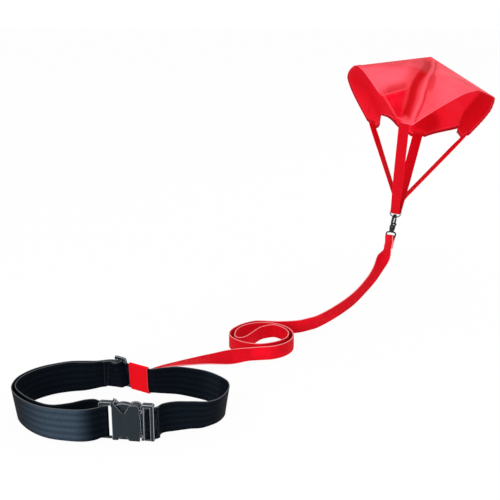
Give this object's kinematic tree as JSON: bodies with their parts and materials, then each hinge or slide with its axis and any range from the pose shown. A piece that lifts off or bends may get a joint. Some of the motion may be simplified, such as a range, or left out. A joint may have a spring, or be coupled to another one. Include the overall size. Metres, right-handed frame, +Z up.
{
  "type": "swim parachute",
  "caption": "Swim training parachute: buckled waist belt, red tow strap, swivel snap hook, D-ring and a red square canopy on crossed tapes.",
  "frame": {"origin": "middle of the waist belt, half way up its webbing", "axes": "+Z up across the belt's width, +X to the side the tow strap leads to, -Y to the buckle"},
  "size_m": [0.8245, 0.8167, 0.4689],
  "materials": {
    "plastic": "moulded, satin",
    "webbing": "woven",
    "red_tape": "woven",
    "red_cloth": "coated cloth",
    "black_metal": "black, glossy",
    "steel": "plated"
  },
  "bodies": {
    "belt": {"belt_webbing": "webbing", "tri_glide": "plastic", "buckle_socket": "plastic", "buckle_plug": "plastic", "tow_loop": "red_tape", "tow_strap_run": "red_tape", "tow_coil": "red_tape", "tow_strap_rise": "red_tape", "tow_strap_end": "red_tape", "swivel_eye": "black_metal", "swivel_post": "steel"},
    "prong_upper": {"buckle_prong_upper": "plastic"},
    "prong_lower": {"buckle_prong_lower": "plastic"},
    "hook": {"hook_body": "black_metal", "gate_pin": "steel"},
    "gate": {"hook_gate": "black_metal"},
    "ring": {"d_ring": "steel"},
    "parachute": {"canopy": "red_cloth", "canopy_strap_front_back": "red_tape", "canopy_strap_left_right": "red_tape"}
  },
  "joints": [
    {"name": "prong_upper_squeeze", "type": "hinge", "parent": "belt", "child": "prong_upper", "pos_m": [0.04045, -0.07026, 0.02], "axis": [-0.1392, -0.9903, 0], "range_deg": [0, 18], "stiffness_Nm_per_rad": 0.05},
    {"name": "prong_lower_squeeze", "type": "hinge", "parent": "belt", "child": "prong_lower", "pos_m": [0.04045, -0.07026, -0.02], "axis": [0.1392, 0.9903, 0], "range_deg": [0, 18], "stiffness_Nm_per_rad": 0.05},
    {"name": "swivel", "type": "hinge", "parent": "belt", "child": "hook", "pos_m": [0.47195, 0.50425, 0.11132], "axis": [0.2217, 0.3126, 0.9236], "continuous": true},
    {"name": "gate_opening", "type": "hinge", "parent": "hook", "child": "gate", "pos_m": [0.47881, 0.51259, 0.12438], "axis": [0.7246, -0.6866, 0.0584], "range_deg": [0, 30], "stiffness_Nm_per_rad": 0.01},
    {"name": "ring_swing", "type": "hinge", "parent": "hook", "child": "ring", "pos_m": [0.47938, 0.51472, 0.14226], "axis": [0.6525, 0.6563, -0.3788], "range_deg": [-35, 35]},
    {"name": "strap_turn", "type": "hinge", "parent": "ring", "child": "parachute", "pos_m": [0.481, 0.517, 0.149], "axis": [0.7246, -0.6866, 0.0584], "range_deg": [-40, 40]}
  ],
  "couplings": [
    {"joint": "prong_lower_squeeze", "follows": "prong_upper_squeeze", "ratio": 1}
  ]
}
